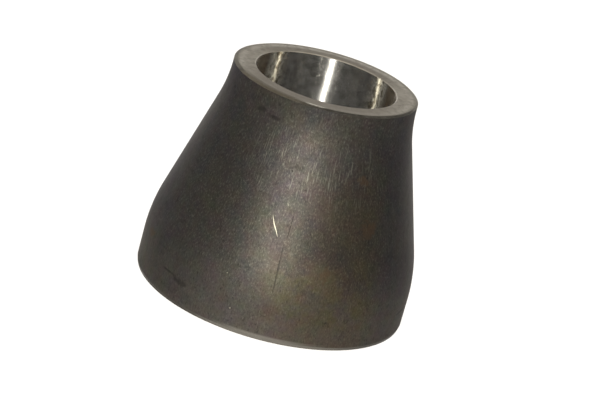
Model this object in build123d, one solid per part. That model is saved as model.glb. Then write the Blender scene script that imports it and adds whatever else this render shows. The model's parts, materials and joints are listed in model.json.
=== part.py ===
from build123d import *
from math import atan2, radians, tan
import os

# Driving dimensions, in millimetres. The origin is the centre of the large end's face, and +Z is the
# common axis of both ends, pointing at the small end.

# Ends, as pipe of the two sizes that the reducer joins
large_outer_diameter = 168.3
large_wall = 18.26
small_outer_diameter = 114.3
small_wall = 13.49
end_to_end = 140.0

# Outer skin: a straight length at each end, and a bend that eases each one into the cone between
large_straight = 18.0
shoulder_run = 15.0
neck_run = 13.0
small_straight = 2.0

# Forged wall, a little thicker than the large end's finished wall, so that both bores clean up when turned
forged_wall = 19.2

# Turned bores, and the angle from the axis at which the tool runs out of each one
large_bore_depth = 26.0
small_bore_depth = 36.0
runout_angle = 30.0

# Broken edges of the two faces. The large end's outer one is steep, taller up the skin than it is deep
large_break_height = 2.0
large_break_depth = 0.5
large_inner_break = 1.0
small_outer_break = 0.6
small_inner_break = 0.5

large_radius = large_outer_diameter / 2
small_radius = small_outer_diameter / 2
large_bore_radius = large_radius - large_wall
small_bore_radius = small_radius - small_wall


def skin_line(inset):
    """Side line of the forging from the large end up to the small end, moved in by the inset."""
    shoulder_height = large_straight + shoulder_run
    neck_height = end_to_end - small_straight - neck_run
    slope = atan2(large_radius - small_radius, neck_height - shoulder_height)
    corners = [
        (large_radius - inset, 0),
        (large_radius - inset, shoulder_height),
        (small_radius - inset, neck_height),
        (small_radius - inset, end_to_end),
    ]
    bend_radii = [shoulder_run / tan(slope / 2), neck_run / tan(slope / 2)]
    return FilletPolyline(*corners, radius=bend_radii)


def forging():
    """The hollow ogee: its wall section between two side lines, turned once round the axis."""
    outside = skin_line(0)
    inside = skin_line(forged_wall)
    large_face = Line(inside @ 0, outside @ 0)
    small_face = Line(outside @ 1, inside @ 1)
    section = make_face(Curve() + [outside, small_face, inside, large_face])
    return revolve(Plane.XZ * section, axis=Axis.Z)


def bore_tool(radius, depth):
    """What the boring tool clears: a cylinder up from its base, then a point at the run-out angle."""
    point_height = radius / tan(radians(runout_angle))
    cylinder = Cylinder(radius, depth, align=(Align.CENTER, Align.CENTER, Align.MIN))
    point = Cone(radius, 0, point_height, align=(Align.CENTER, Align.CENTER, Align.MIN))
    return cylinder + Pos(0, 0, depth) * point


def mouth_edge(body, radius, height):
    """The round edge of an end face that has this radius and lies at this height."""
    circles = body.edges().filter_by(GeomType.CIRCLE)
    return min(circles, key=lambda edge: abs(edge.radius - radius) + abs(edge.arc_center.Z - height))


# The reducer is forged as one hollow ogee, and then faced and bored at both ends on a lathe
reducer_body = forging()
reducer_body -= bore_tool(large_bore_radius, large_bore_depth)
reducer_body -= Pos(0, 0, end_to_end) * Rot(180, 0, 0) * bore_tool(small_bore_radius, small_bore_depth)

large_face = reducer_body.faces().sort_by(Axis.Z)[0]
large_edge = mouth_edge(reducer_body, large_radius, 0)
reducer_body = chamfer(large_edge, large_break_depth, large_break_height, reference=large_face)
reducer_body = chamfer(mouth_edge(reducer_body, large_bore_radius, 0), large_inner_break)
reducer_body = chamfer(mouth_edge(reducer_body, small_radius, end_to_end), small_outer_break)
reducer_body = chamfer(mouth_edge(reducer_body, small_bore_radius, end_to_end), small_inner_break)

os.makedirs("parts", exist_ok=True)
export_step(reducer_body, "parts/reducer_body.step")
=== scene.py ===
import json
from math import atan2, cos, degrees, pi, radians, sin, sqrt, tan

import bpy
from mathutils import Matrix, Vector


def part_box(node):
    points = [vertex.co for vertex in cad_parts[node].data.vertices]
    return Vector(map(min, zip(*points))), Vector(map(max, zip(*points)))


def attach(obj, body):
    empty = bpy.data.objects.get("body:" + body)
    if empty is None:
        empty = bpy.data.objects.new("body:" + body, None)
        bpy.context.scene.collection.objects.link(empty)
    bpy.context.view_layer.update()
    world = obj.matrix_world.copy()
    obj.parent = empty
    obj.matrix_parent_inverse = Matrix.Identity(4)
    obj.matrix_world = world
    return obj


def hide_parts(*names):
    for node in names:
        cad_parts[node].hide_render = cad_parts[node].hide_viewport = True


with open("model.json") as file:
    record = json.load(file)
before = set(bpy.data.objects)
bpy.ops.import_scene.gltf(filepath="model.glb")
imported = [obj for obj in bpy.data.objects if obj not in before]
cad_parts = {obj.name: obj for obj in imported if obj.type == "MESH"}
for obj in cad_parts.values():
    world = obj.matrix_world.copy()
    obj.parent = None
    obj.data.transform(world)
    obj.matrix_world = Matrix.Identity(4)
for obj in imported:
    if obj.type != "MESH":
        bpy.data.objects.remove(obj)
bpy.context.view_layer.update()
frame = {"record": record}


# The reducer's wall.
# One hollow carbon steel forging, pressed from heavy pipe into an ogee and then faced and bored at both
# ends on a lathe. Nothing is fitted to it. Lengths are in metres, heights are from the large end's face.

mm_in_metre = 1000
large_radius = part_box("reducer_body")[1].x
end_to_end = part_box("reducer_body")[1].z
mount_sizes = {mount["name"]: mount["dims"] for mount in frame["record"]["mounts"]}
large_bore_radius = mount_sizes["large_bore"]["r_mm"] / mm_in_metre
small_bore_radius = mount_sizes["small_bore"]["r_mm"] / mm_in_metre
small_radius = 0.05715

large_straight = 0.018
shoulder_run = 0.015
neck_run = 0.013
small_straight = 0.002
forged_wall = 0.0192
large_bore_depth = 0.026
runout_slope = tan(radians(30))

large_break_height = 0.002
large_break_depth = 0.0005
large_inner_break = 0.001
small_outer_break = 0.0006
small_inner_break = 0.0005
edge_margin = 0.002

around = 288
skin_step = 0.0016
bore_step = 0.0025
face_steps = 5
same_height = 1e-6
same_place = 1e-5

shoulder_height = large_straight + shoulder_run
neck_height = end_to_end - small_straight - neck_run
cone_angle = atan2(large_radius - small_radius, neck_height - shoulder_height)
shoulder_bend = shoulder_run / tan(cone_angle / 2)
neck_bend = neck_run / tan(cone_angle / 2)
cone_start = large_straight + shoulder_bend * sin(cone_angle)
cone_end = end_to_end - small_straight - neck_bend * sin(cone_angle)


def skin_radius(height):
    """Radius of the forging's outer skin at a height: straight, wide bend, cone, wide bend, straight."""
    if height <= large_straight:
        return large_radius
    if height <= cone_start:
        return large_radius - shoulder_bend + sqrt(shoulder_bend**2 - (height - large_straight) ** 2)
    if height <= cone_end:
        cone_top = large_radius - shoulder_bend * (1 - cos(cone_angle))
        return cone_top - (height - cone_start) * tan(cone_angle)
    if height <= end_to_end - small_straight:
        return small_radius + neck_bend - sqrt(neck_bend**2 - (end_to_end - small_straight - height) ** 2)
    return small_radius


def steps(start, end, size):
    """Evenly spaced values from the start up to and with the end, about one size apart."""
    count = max(1, round(abs(end - start) / size))
    return [start + (end - start) * step / count for step in range(count + 1)]


def crossing(gap, low, high):
    """The height between low and high at which a falling gap reaches nought."""
    while high - low > same_height:
        middle = (low + high) / 2
        low, high = (middle, high) if gap(middle) > 0 else (low, middle)
    return low


small_runout = crossing(
    lambda z: skin_radius(z) - forged_wall - small_bore_radius,
    shoulder_height,
    end_to_end,
)
large_runout = crossing(
    lambda z: large_bore_radius - (z - large_bore_depth) * runout_slope - skin_radius(z) + forged_wall,
    large_bore_depth,
    shoulder_height,
)

# The wall's section is a closed line of rings, up the outer skin, across the small face, down the inside
# and out across the large face. One circle is extruded and resized from each ring to the next.
skin_rings = [
    (skin_radius(height), height)
    for height in steps(large_break_height, end_to_end - edge_margin, skin_step)
] + [(small_radius, end_to_end - small_outer_break)]
small_face_rings = [
    (radius, end_to_end)
    for radius in steps(
        small_radius - small_outer_break,
        small_bore_radius + small_inner_break,
        (small_radius - small_bore_radius) / face_steps,
    )
]
small_bore_rings = [
    (small_bore_radius, height)
    for height in steps(end_to_end - small_inner_break, small_runout, bore_step)
]
inner_skin_rings = [
    (skin_radius(height) - forged_wall, height)
    for height in steps(small_runout, large_runout, bore_step)
]
large_bore_rings = [
    (large_bore_radius, height)
    for height in steps(large_bore_depth, large_inner_break, bore_step)
]
large_face_rings = [
    (radius, 0.0)
    for radius in steps(
        large_bore_radius + large_inner_break,
        large_radius - large_break_depth,
        (large_radius - large_bore_radius) / face_steps,
    )
]
outside_rings = skin_rings + small_face_rings
inside_rings = small_bore_rings + inner_skin_rings[1:] + large_bore_rings
wall_rings = outside_rings + inside_rings + large_face_rings

bpy.ops.object.select_all(action="DESELECT")
first_radius, first_height = wall_rings[0]
bpy.ops.mesh.primitive_circle_add(vertices=around, radius=first_radius, location=(0, 0, first_height))
reducer = bpy.context.object
reducer.name = "reducer_forging"
bpy.ops.object.transform_apply(location=True, rotation=True, scale=True)
bpy.ops.object.mode_set(mode="EDIT")
bpy.ops.mesh.select_mode(type="EDGE")
bpy.ops.mesh.select_all(action="SELECT")
for (last_radius, last_height), (radius, height) in zip(wall_rings, wall_rings[1:] + wall_rings[:1]):
    bpy.ops.mesh.extrude_edges_move(TRANSFORM_OT_translate={"value": (0, 0, height - last_height)})
    widening = radius / last_radius
    bpy.ops.transform.resize(value=(widening, widening, 1), center_override=(0, 0, height))
bpy.ops.mesh.select_all(action="SELECT")
bpy.ops.mesh.remove_doubles(threshold=same_place)
bpy.ops.mesh.normals_make_consistent(inside=False)
bpy.ops.mesh.select_mode(type="VERT")
bpy.ops.mesh.select_all(action="DESELECT")
bpy.ops.object.mode_set(mode="OBJECT")


# The facing cut missed the forging's rounded corner on the near side, and a file went over it by hand:
# the face's outer ring is drawn in from that side, about the point of the rim where the cut is full.
shy_side = radians(-20)
shy_depth = 0.0022
full_side = Vector((-sin(shy_side), cos(shy_side), 0))
face_rim_radius = small_radius - small_outer_break

for vertex in reducer.data.vertices:
    on_rim = abs(vertex.co.xy.length - face_rim_radius) < same_place
    vertex.select = on_rim and abs(vertex.co.z - end_to_end) < same_place
bpy.ops.object.mode_set(mode="EDIT")
shrink = 1 - shy_depth / (2 * small_radius)
bpy.ops.transform.resize(value=(shrink, shrink, 1), center_override=small_radius * full_side)
bpy.ops.mesh.select_all(action="DESELECT")
bpy.ops.object.mode_set(mode="OBJECT")


# Mill scale covers the pressed skin, outside and in: a dark oxide with brown, olive, violet and blue
# patches. Drawing over the former left upright lines in it, and handling left scratches and small dents.
# Some light and shade is painted into its colour as well: a lighter lower wall, tints by side, and shade
# in dents, cracks and patches.


class Paint:
    """An output of a material's node. Sums, products and the like of paints add their Math nodes."""

    def __init__(self, tree, socket=None):
        self.tree = tree
        self.socket = socket

    def node(self, kind, settings=None, inputs=None, output=0):
        """Adds a node, sets it up, feeds its sockets with values or paints, and gives one output."""
        made = self.tree.nodes.new(kind)
        for name, value in (settings or {}).items():
            setattr(made, name, value)
        for name, value in (inputs or {}).items():
            if isinstance(value, Paint):
                self.tree.links.new(value.socket, made.inputs[name])
            else:
                made.inputs[name].default_value = value
        return Paint(self.tree, made.outputs[output])

    def math(self, operation, *values):
        return self.node("ShaderNodeMath", {"operation": operation}, dict(enumerate(values)))

    def __add__(self, other):
        return self.math("ADD", self, other)

    def __sub__(self, other):
        return self.math("SUBTRACT", self, other)

    def __rsub__(self, other):
        return self.math("SUBTRACT", other, self)

    def __mul__(self, other):
        return self.math("MULTIPLY", self, other)

    def __truediv__(self, other):
        return self.math("DIVIDE", self, other)

    __radd__ = __add__
    __rmul__ = __mul__

    def vector(self, operation, *values):
        return self.node("ShaderNodeVectorMath", {"operation": operation}, dict(enumerate(values)))

    def root(self):
        return self.math("SQRT", self)

    def or_more(self, other):
        return self.math("MAXIMUM", self, other)

    def rise(self, start, end):
        """0 up to the start and 1 from the end on, with a smooth rise between."""
        values = {"Value": self, "From Min": start, "From Max": end}
        return self.node("ShaderNodeMapRange", {"interpolation_type": "SMOOTHSTEP"}, values)

    def fall(self, start, end):
        """1 up to the start and 0 from the end on, with a smooth fall between."""
        return 1 - self.rise(start, end)

    def within(self, start, full, fading, end):
        """0 up to the start, 1 from full to fading, and 0 again from the end on."""
        return self.rise(start, full) * self.fall(fading, end)

    def noise(self, scale, detail, roughness, upright=1.0, output=0):
        """Noise on this place, with that many features a metre, drawn out so many times along the axis."""
        squeeze = {"Vector": self, "Scale": (1, 1, 1 / upright)}
        place = self.node("ShaderNodeMapping", {"vector_type": "POINT"}, squeeze)
        values = {"Vector": place, "Scale": scale, "Detail": detail, "Roughness": roughness}
        return self.node("ShaderNodeTexNoise", {"noise_dimensions": "3D"}, values, output)

    def unrolled(self, radius):
        """This place brought to one radius about the axis, so that a pattern follows the wall's slope."""
        across = self.vector("NORMALIZE", self.vector("MULTIPLY", self, (1, 1, 0)))
        along = self.vector("MULTIPLY", self, (0, 0, 1))
        return self.vector("MULTIPLY_ADD", across, (radius, radius, radius), along)

    def between(self, low, high, way="MIX"):
        """The colour that lies between two others, where this is the share of the second."""
        settings = {"data_type": "RGBA", "blend_type": way}
        return self.node("ShaderNodeMix", settings, {0: self, 6: low, 7: high}, output=2)

    def relief(self):
        """Turns a height in metres into the bumps of a surface."""
        return self.node("ShaderNodeBump", None, {"Strength": 1.0, "Distance": 1.0, "Height": self})


def new_finish(name):
    """A new material, its shader and place, and the place's azimuth in degrees, height and reach in mm."""
    material = bpy.data.materials.new(name)
    material.use_nodes = True
    tree = material.node_tree
    place = Paint(tree).node("ShaderNodeTexCoord", output=3)
    x, y, z = [place.node("ShaderNodeSeparateXYZ", None, {0: place}, output) for output in range(3)]
    azimuth = x.math("ARCTAN2", x, 0 - y) * degrees(1)
    height = z * mm_in_metre
    reach = (x * x + y * y).root() * mm_in_metre
    return material, tree.nodes["Principled BSDF"], place, azimuth, height, reach


def set_shader(shader, paints, constants):
    """Links what varies over the surface to the shader, and sets what is the same all over."""
    for name, paint in paints.items():
        paint.tree.links.new(paint.socket, shader.inputs[name])
    for name, value in constants.items():
        shader.inputs[name].default_value = value


mill_scale, scale_shader, on_scale, azimuth, height, _ = new_finish("mill_scale")
middle_radius = 0.066

broad = on_scale.noise(20, 2, 0.5)
patches = on_scale.noise(62, 3, 0.6)
mottle = on_scale.noise(210, 4, 0.65)
draw_lines = on_scale.unrolled(middle_radius).noise(1300, 2, 0.5, upright=12)
grain = on_scale.noise(1300, 2, 0.6, upright=2.2)
hues = on_scale.noise(110, 3, 0.55, output=1)


def mark(bearing, level, half_length, half_width, lean, ragged):
    """1 in the middle of a long mark on the skin and 0 outside it, fading towards its outline."""
    degree_of_skin = radians(1) * skin_radius(level / mm_in_metre) * mm_in_metre
    along = (azimuth - bearing) * degree_of_skin
    up = height - level
    lengthwise = along * cos(radians(lean)) + up * sin(radians(lean))
    crosswise = up * cos(radians(lean)) - along * sin(radians(lean))
    lengthwise, crosswise = lengthwise / half_length, crosswise / half_width
    away = (lengthwise * lengthwise + crosswise * crosswise).root()
    return (away + (mottle - 0.5) * ragged).fall(0.35, 1.0)


def all_marks(marks):
    """Many marks as one, the strongest of them at each place.

    Each has its bearing in degrees, its level, half length and half width in mm, its lean from the level
    in degrees, and how ragged its outline is.
    """
    whole = mark(*marks[0])
    for other in marks[1:]:
        whole = whole.or_more(mark(*other))
    return whole


brown = (0.0292, 0.0264, 0.0214, 1)
violet = (0.0270, 0.0240, 0.0214, 1)
lit_low_brown = (0.0475, 0.0426, 0.0372, 1)
olive = (0.0400, 0.0365, 0.0230, 1)
blue = (0.0200, 0.0204, 0.0190, 1)
# The oxide's dark points; the same colour is used for painted shade in dents, cracks and patches.
dark_oxide_and_shade = (0.0080, 0.0074, 0.0065, 1)
rust = (0.0460, 0.0300, 0.0175, 1)
rubbed = (0.0820, 0.0800, 0.0650, 1)
bare = (0.3000, 0.2850, 0.2150, 1)
worn_edge = (0.1140, 0.1060, 0.0910, 1)
warm_light_tint = (1.09, 0.985, 0.87, 1)
cool_light_tint = (0.97, 0.985, 1.14, 1)

# The oxide's own patches, its changing hue, the pale and dark points of its grain, and a lighter lower
# wall, which is painted light.
skin_colour = broad.rise(0.40, 0.60).between(brown, violet)
skin_colour = (patches.rise(0.50, 0.70) * 0.55).between(skin_colour, blue)
# Painted light: the lower wall is lighter and browner, where the flash's highlight spreads low.
skin_colour = (height.fall(10, 58) * 0.85).between(skin_colour, lit_low_brown)
lower_right = azimuth.within(-10, 12, 35, 60) * height.within(8, 20, 40, 62)
skin_colour = (patches.fall(0.42, 0.6) * lower_right * 0.8).between(skin_colour, olive)
overlay = {"data_type": "RGBA", "blend_type": "OVERLAY"}
hue_strength = 0.22
skin_colour = hues.node("ShaderNodeMix", overlay, {0: hue_strength, 6: skin_colour, 7: hues}, output=2)
skin_colour = (mottle.rise(0.52, 0.76) * 0.42).between(skin_colour, dark_oxide_and_shade)
skin_colour = (grain.rise(0.50, 0.78) * 0.5).between(skin_colour, rubbed)
skin_colour = (grain.fall(0.24, 0.46) * 0.55).between(skin_colour, dark_oxide_and_shade)

# Painted light: the colour is made warmer to the right of the front and colder round the sides, for the
# colour of the light that falls there.
warm_lit_side = azimuth.within(-16, 24, 38, 56) * height.fall(84, 116)
skin_colour = (warm_lit_side * 0.9).between(skin_colour, warm_light_tint, way="MULTIPLY")
cool_lit_sides = 1 - azimuth.within(-62, -38, 44, 58)
skin_colour = (cool_lit_sides * height.rise(10, 50)).between(skin_colour, cool_light_tint, way="MULTIPLY")

rust_spots = all_marks(
    [
        (35, 102, 5, 4, 20, 2.0),
        (41, 74, 8, 7, 0, 2.5),
        (22, 47, 6, 5, 40, 2.5),
        (-66, 28, 8, 3, 10, 2.5),
    ]
)
skin_colour = (rust_spots * 0.6).between(skin_colour, rust)

drawn_zone = azimuth.within(-36, -18, 28, 56) * height.within(80, 96, 112, 128)
drawn_lines = draw_lines.rise(0.56, 0.70) * (0.15 + 0.85 * drawn_zone)
skin_colour = (drawn_lines * 0.6).between(skin_colour, rubbed)

# Dents and dark marks, pressed in as bumps and also painted dark as the shade in them.
dents_and_their_shade = all_marks(
    [
        (-33.5, 127.5, 4.5, 1.8, 10, 1.6),
        (-24.0, 125.6, 6.0, 1.9, -4, 1.6),
        (-46.0, 17.0, 9.0, 1.1, 0, 2.0),
        (-38.5, 14.8, 6.5, 2.6, -3, 2.6),
        (74, 17.4, 9.0, 1.5, 4, 1.5),
        (-4.5, 100.6, 0.9, 0.8, 0, 0.5),
        (26.7, 18.0, 1.3, 1.0, 60, 0.8),
        (-62, 129, 2.5, 1.5, 30, 1.0),
    ]
)
skin_colour = (dents_and_their_shade * 0.5).between(skin_colour, dark_oxide_and_shade)
# Painted shade: broad dark patches low on the left wall.
painted_shade_patches = all_marks([(-47, 24, 34, 26, 0, 1.0), (-44, 9, 30, 7, 2, 2.0)])
skin_colour = (painted_shade_patches * 0.25).between(skin_colour, dark_oxide_and_shade)
above_edge = azimuth.within(-24, -6, 8, 34) * height.fall(2.6, 4.2)
skin_colour = (above_edge * 0.75).between(skin_colour, worn_edge)
# Two hairline cracks, grooved in as bumps and also painted dark as the shade in them.
cracks_and_their_shade = all_marks([(1.7, 44.0, 20.0, 0.55, 92, 1.2), (2.2, 70.0, 9.0, 0.25, 88, 0.8)])
skin_colour = (cracks_and_their_shade * 0.5).between(skin_colour, dark_oxide_and_shade)

bright_marks = all_marks(
    [
        (-5.9, 70.6, 5.0, 0.30, -65, 0.8),
        (-3.7, 66.0, 5.2, 0.28, -59, 0.8),
        (-18.2, 34.0, 0.5, 0.5, 0, 0.3),
        (-13.0, 14.2, 0.7, 0.7, 0, 0.5),
    ]
)
skin_colour = (bright_marks * 0.5).between(skin_colour, bare)

faint_marks = all_marks(
    [
        (-12.0, 107.5, 5.0, 0.30, -80, 0.6),
        (-20.5, 103.0, 5.0, 0.26, -84, 0.6),
        (-7.3, 106.0, 3.0, 0.30, -82, 0.6),
        (6.0, 104.5, 6.0, 0.26, 88, 0.6),
        (25.0, 102.5, 4.0, 0.26, 86, 0.6),
        (-1.6, 82.0, 1.2, 0.5, -50, 1.6),
    ]
)
skin_colour = (faint_marks * 0.13).between(skin_colour, bare)

skin_relief = mottle * 0.00005 + grain * 0.00003 + patches * 0.00012 + draw_lines * 0.00001
skin_relief = skin_relief - dents_and_their_shade * 0.00010 - cracks_and_their_shade * 0.00006
skin_roughness = 0.47 + 0.14 * mottle + 0.1 * (broad - 0.5) - 0.12 * bright_marks
skin_roughness = skin_roughness - 0.015 * height.rise(50, 64) + 0.035 * height.rise(98, 114)
set_shader(
    scale_shader,
    {"Base Color": skin_colour, "Roughness": skin_roughness, "Normal": skin_relief.relief()},
    {"Metallic": 0.8, "Specular IOR Level": 0.38, "Specular Tint": (0.46, 0.45, 0.44, 1)},
)

# The broken edges were ground or dressed through the scale: bare steel with scale left in its low places.
# The large end's is worn in front, and the small end's keeps a short ragged burr on the near side, also
# painted bright as the flash's glint on it.
ground_edge, edge_shader, on_edge, edge_azimuth, edge_height, edge_reach = new_finish("ground_edge")


def burr_and_glint(place, azimuth):
    """Where a short stretch of the small end's rim, on the near side, is a ragged burr, painted bright
    with the flash's glint.
    """
    return azimuth.within(-10, -5, 0, 6) * (0.35 + place.noise(900, 2, 0.6).rise(0.35, 0.6))


small_dull = (0.072, 0.066, 0.053, 1)
# Bare steel of the small end, also the colour of the burr's painted glint.
small_bare_and_glint = (0.400, 0.375, 0.320, 1)
filed_steel = (0.185, 0.160, 0.115, 1)
open_steel = (0.180, 0.163, 0.130, 1)
large_dull = (0.036, 0.032, 0.025, 1)
large_bright = (0.125, 0.118, 0.102, 1)

edge_patches = on_edge.noise(230, 4, 0.65)
edge_broad = on_edge.noise(28, 2, 0.5)
on_small_end = edge_height.rise(60, 80)
on_large_end = 1 - on_small_end
# Painted highlight: the burr's glint on the small end's rim.
burr_glint_on_edge = burr_and_glint(on_edge, edge_azimuth) * edge_reach.fall(54.9, 55.7) * on_small_end
scraped = edge_azimuth.within(-28, -15, -2, 14) * on_large_end
filed = edge_azimuth.within(-66, -58, -24, 6)
open_cut = 1 - edge_azimuth.within(-70, -60, 64, 84)
worn = edge_azimuth.within(-36, -10, 20, 58)
edge_dull = (0.85 * filed).between(small_dull, filed_steel)
edge_dull = (0.8 * open_cut).between(edge_dull, open_steel)
edge_dull = on_large_end.between(edge_dull, worn.between(large_dull, worn_edge))
edge_bright = on_small_end.between(large_bright, small_bare_and_glint)
edge_bare = (edge_patches + 0.5 * (edge_broad - 0.5)).rise(0.32, 0.70) * (0.15 + 0.85 * scraped)
edge_colour = edge_bare.or_more(burr_glint_on_edge).between(edge_dull, edge_bright)
set_shader(
    edge_shader,
    {
        "Base Color": edge_colour,
        "Roughness": 0.42 + 0.25 * edge_patches,
        "Normal": (edge_patches * 0.00012).relief(),
    },
    {"Metallic": 0.8},
)

# Turned steel on the end faces: the tool left rings one feed apart, and the bare metal has dulled since.
# It is darker on its near half, which is painted shade, along its rim, and in stains at the rim and beside
# the bore. The burr's glint on its rim is a painted highlight.
turned_face, face_shader, on_face, face_azimuth, _, face_reach = new_finish("turned_face")
feed = 0.45

dull_steel = (0.340, 0.316, 0.271, 1)
clean_steel = (0.368, 0.346, 0.300, 1)
spotted_steel = (0.180, 0.163, 0.136, 1)
near_half_shade_steel = (0.208, 0.188, 0.158, 1)
rim_steel = (0.145, 0.130, 0.102, 1)
outer_stain = (0.125, 0.110, 0.081, 1)
inner_stain = (0.130, 0.113, 0.086, 1)
burr_glint_steel = (0.600, 0.575, 0.500, 1)

face_rings = face_reach.math("SINE", face_reach * (2 * pi / feed))
face_mottle = on_face.noise(230, 4, 0.65)
face_broad = on_face.noise(34, 2, 0.5)
face_colour = face_broad.rise(0.4, 0.62).between(dull_steel, clean_steel)
face_colour = (face_mottle.rise(0.42, 0.66) * 0.6).between(face_colour, spotted_steel)
# Painted shade: the near half of the face is darker.
near_half_shade = face_azimuth.within(-85, -45, 25, 80)
face_colour = (near_half_shade * 0.8).between(face_colour, near_half_shade_steel)
face_colour = (face_reach.rise(53.2, 55.2) * 0.5).between(face_colour, rim_steel)
stained_outside = face_azimuth.within(-70, -45, -20, -6) * face_reach.rise(50.8, 52.8)
face_colour = (stained_outside * 0.85).between(face_colour, outer_stain)
# Painted highlight: the burr's glint on the face's rim.
face_burr_glint = burr_and_glint(on_face, face_azimuth) * face_reach.rise(52.9, 53.5)
face_colour = (face_burr_glint * 0.9).between(face_colour, burr_glint_steel)
far_side = face_azimuth.math("COSINE", face_azimuth * radians(1)).fall(-0.8, 0.0)
stained_spots = on_face.noise(45, 2, 0.5).rise(0.25, 0.55) * 0.4
stained_inside = stained_spots.or_more(far_side) * face_reach.fall(48.8, 52.2)
face_colour = (stained_inside * 0.65).between(face_colour, inner_stain)
set_shader(
    face_shader,
    {
        "Base Color": face_colour,
        "Roughness": 0.62 + 0.2 * face_mottle,
        "Normal": (face_rings * 0.000003 + face_mottle * 0.00002).relief(),
    },
    {"Metallic": 0.7},
)

# Turned steel in the bores: fine rings round the axis draw each reflection out lengthwise. Light rust
# dulls both sides. Farther back on each side a painted highlight, a near-white strip where the side
# reflections fall, makes them brighter, and dark pits break it up.
turned_bore, bore_shader, on_bore, bore_azimuth, *_ = new_finish("turned_bore")

bore_bright = (0.620, 0.610, 0.565, 1)
bore_grey = (0.380, 0.370, 0.335, 1)
light_rust = (0.160, 0.112, 0.066, 1)
streak_highlight_colour = (0.950, 0.920, 0.800, 1)
pit_dark = (0.160, 0.130, 0.085, 1)

bore_mottle = on_bore.noise(240, 4, 0.6)
bore_grain = on_bore.noise(1500, 2, 0.6)
bore_speck = on_bore.noise(1100, 2, 0.6)
bore_colour = bore_mottle.rise(0.40, 0.64).between(bore_bright, bore_grey)
to_either_side = bore_azimuth.math("ABSOLUTE", bore_azimuth)
rusted = to_either_side.within(60, 76, 118, 128) * (0.6 + 0.8 * on_bore.noise(120, 3, 0.6))
bore_colour = (rusted * 0.8).between(bore_colour, light_rust)
# Painted highlight: a near-white strip on each side, where the side reflections fall.
painted_streak_highlight = to_either_side.within(122, 128, 137, 146)
bore_colour = (painted_streak_highlight * 0.8).between(bore_colour, streak_highlight_colour)
bore_pits = on_bore.noise(430, 3, 0.7, upright=1.5).rise(0.48, 0.58) * painted_streak_highlight
bore_colour = (bore_pits * 0.85).between(bore_colour, pit_dark)
set_shader(
    bore_shader,
    {
        "Base Color": bore_colour,
        "Roughness": 0.175 + 0.04 * bore_mottle + 0.08 * bore_speck.rise(0.5, 0.8),
        "Normal": (bore_mottle * 0.000002 + bore_grain * 0.000006).relief(),
    },
    {"Metallic": 0.96, "Anisotropic": 1.0, "Anisotropic Rotation": 0.25},
)

# Each face gets the finish of the cut it belongs to, and the skin keeps its scale.
square_cut = 0.99
finishes = [mill_scale, ground_edge, turned_face, turned_bore]
for finish in finishes:
    reducer.data.materials.append(finish)
for face in reducer.data.polygons:
    middle = face.center
    outward = face.normal.xy.dot(middle.xy) > 0
    faced = abs(face.normal.z) > square_cut
    at_small_mouth = middle.z > end_to_end - small_inner_break and not outward
    bored = middle.z > small_runout or middle.z < large_runout
    broken = middle.z < large_break_height or middle.z > end_to_end - edge_margin / 2
    if faced or at_small_mouth:
        finish = turned_face
    elif bored and not outward:
        finish = turned_bore
    elif broken and outward:
        finish = ground_edge
    else:
        finish = mill_scale
    face.material_index = finishes.index(finish)

sharpest_smooth = radians(12)
bpy.ops.object.select_all(action="DESELECT")
reducer.select_set(True)
bpy.context.view_layer.objects.active = reducer
bpy.ops.object.shade_smooth_by_angle(angle=sharpest_smooth)

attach(reducer, "root")
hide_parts("reducer_body")


# The studio.
# A wide pale table, a flash just above the camera, and soft weak lights from overhead, from the left and
# low from behind, which keep the back readable. The camera is where the photograph was taken from.

table_size = 14
pale_paper = (0.885, 0.885, 0.88, 1)
grey_paper = (0.86, 0.86, 0.855, 1)
bpy.ops.object.select_all(action="DESELECT")
bpy.ops.mesh.primitive_plane_add(size=table_size, location=(0, 0, 0))
table = bpy.context.object
table.name = "table"
paper, paper_shader, on_paper, *_ = new_finish("table_paper")
paper_colour = on_paper.noise(40, 3, 0.5).between(grey_paper, pale_paper)
set_shader(
    paper_shader,
    {"Base Color": paper_colour},
    {"Roughness": 0.9, "Specular IOR Level": 0.1},
)
table.data.materials.append(paper)

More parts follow.
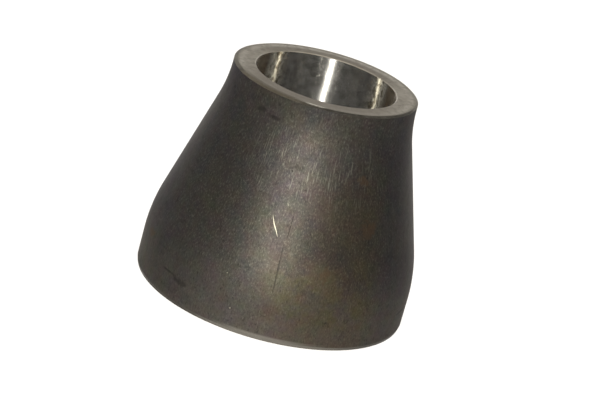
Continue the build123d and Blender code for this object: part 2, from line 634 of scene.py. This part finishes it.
# The camera is rolled, and it aims a little to the right of the reducer's middle and below it.
camera_distance = 1.602
camera_rise = radians(20.38)
camera_roll = radians(15.47)
focal_pixels = 2625
aim_right = 0.00117
aim_up = -0.00942
photo_width = 599

back = Vector((0, -cos(camera_rise), sin(camera_rise)))
level = Vector((1, 0, 0))
upright = Vector((0, sin(camera_rise), cos(camera_rise)))
camera_right = cos(camera_roll) * level + sin(camera_roll) * upright
camera_up = cos(camera_roll) * upright - sin(camera_roll) * level
camera_turn = Matrix((camera_right, camera_up, back)).transposed().to_4x4()

aim = Vector((0, 0, end_to_end / 2)) + aim_right * camera_right + aim_up * camera_up
camera_place = aim + camera_distance * back

bpy.ops.object.camera_add(location=camera_place)
camera = bpy.context.object
camera.matrix_world = Matrix.Translation(camera_place) @ camera_turn
camera.data.sensor_width = 36
camera.data.lens = focal_pixels * camera.data.sensor_width / photo_width
camera.data.clip_end = 100
bpy.context.scene.camera = camera

lamp_distance = 3


def far_light(name, azimuth, rise, spread, strength, colour):
    """A distant lamp that lights all evenly. Its azimuth, rise and spread are in degrees."""
    turn, lift = radians(azimuth), radians(rise)
    towards = Vector((sin(turn) * cos(lift), -cos(turn) * cos(lift), sin(lift)))
    bpy.ops.object.light_add(type="SUN", location=lamp_distance * towards)
    light = bpy.context.object
    light.name = name
    light.rotation_euler = towards.to_track_quat("Z", "Y").to_euler()
    light.data.angle = radians(spread)
    light.data.energy = strength
    light.data.color = colour


far_light("flash", -1.7, 23, 2.0, 9.0, (1.0, 0.975, 0.94))
far_light("overhead", 0, 89, 30, 0.15, (1.0, 0.98, 0.95))
far_light("fill", -105, 14, 40, 0.3, (1.0, 0.98, 0.95))
far_light("rear_left", -150, 3, 15, 2.2, (1.0, 0.99, 0.97))
far_light("rear_right", 150, 3, 15, 1.6, (1.0, 0.99, 0.97))

world = bpy.data.worlds.new("room")
world.use_nodes = True
room_light = world.node_tree.nodes["Background"].inputs
room_light["Color"].default_value = (1, 1, 1, 1)
room_light["Strength"].default_value = 0.05
bpy.context.scene.world = world
bpy.context.scene.view_settings.view_transform = "Standard"
